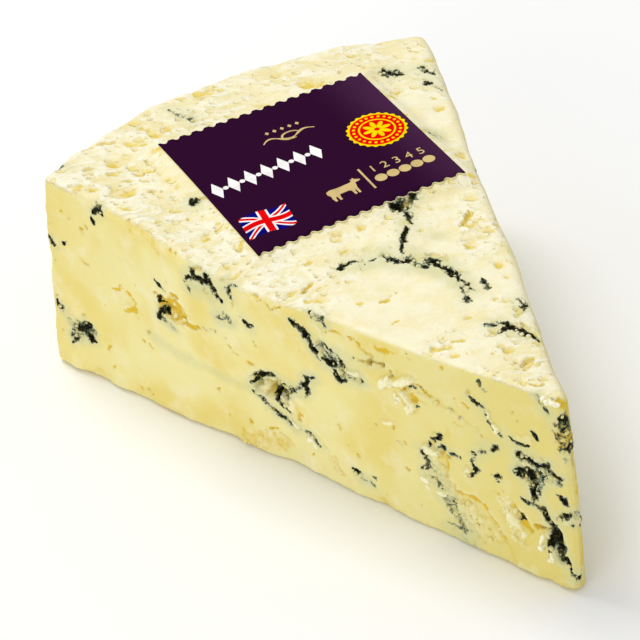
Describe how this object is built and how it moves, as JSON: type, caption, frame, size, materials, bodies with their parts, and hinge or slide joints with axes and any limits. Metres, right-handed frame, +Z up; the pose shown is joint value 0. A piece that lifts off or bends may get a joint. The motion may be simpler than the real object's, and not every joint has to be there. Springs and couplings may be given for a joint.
{
  "type": "blue cheese wedge",
  "caption": "Wedge of blue-veined cheese cut from a drum, with mould crevices and crumbly hollows, and a pinked-edge printed card lying on its top.",
  "frame": {"origin": "on the base, midway along the wedge's length and width", "axes": "+Z up; the wedge's point faces -Y and its rind side +Y; +X is to the right seen from the point"},
  "size_m": [0.0718, 0.1089, 0.0371],
  "materials": {
    "paste": "moist creamy cheese paste with blue-green mould veins",
    "card": "smooth coated card printed dark aubergine"
  },
  "bodies": {
    "root": {"cheese": "paste", "label": "card"}
  },
  "joints": []
}
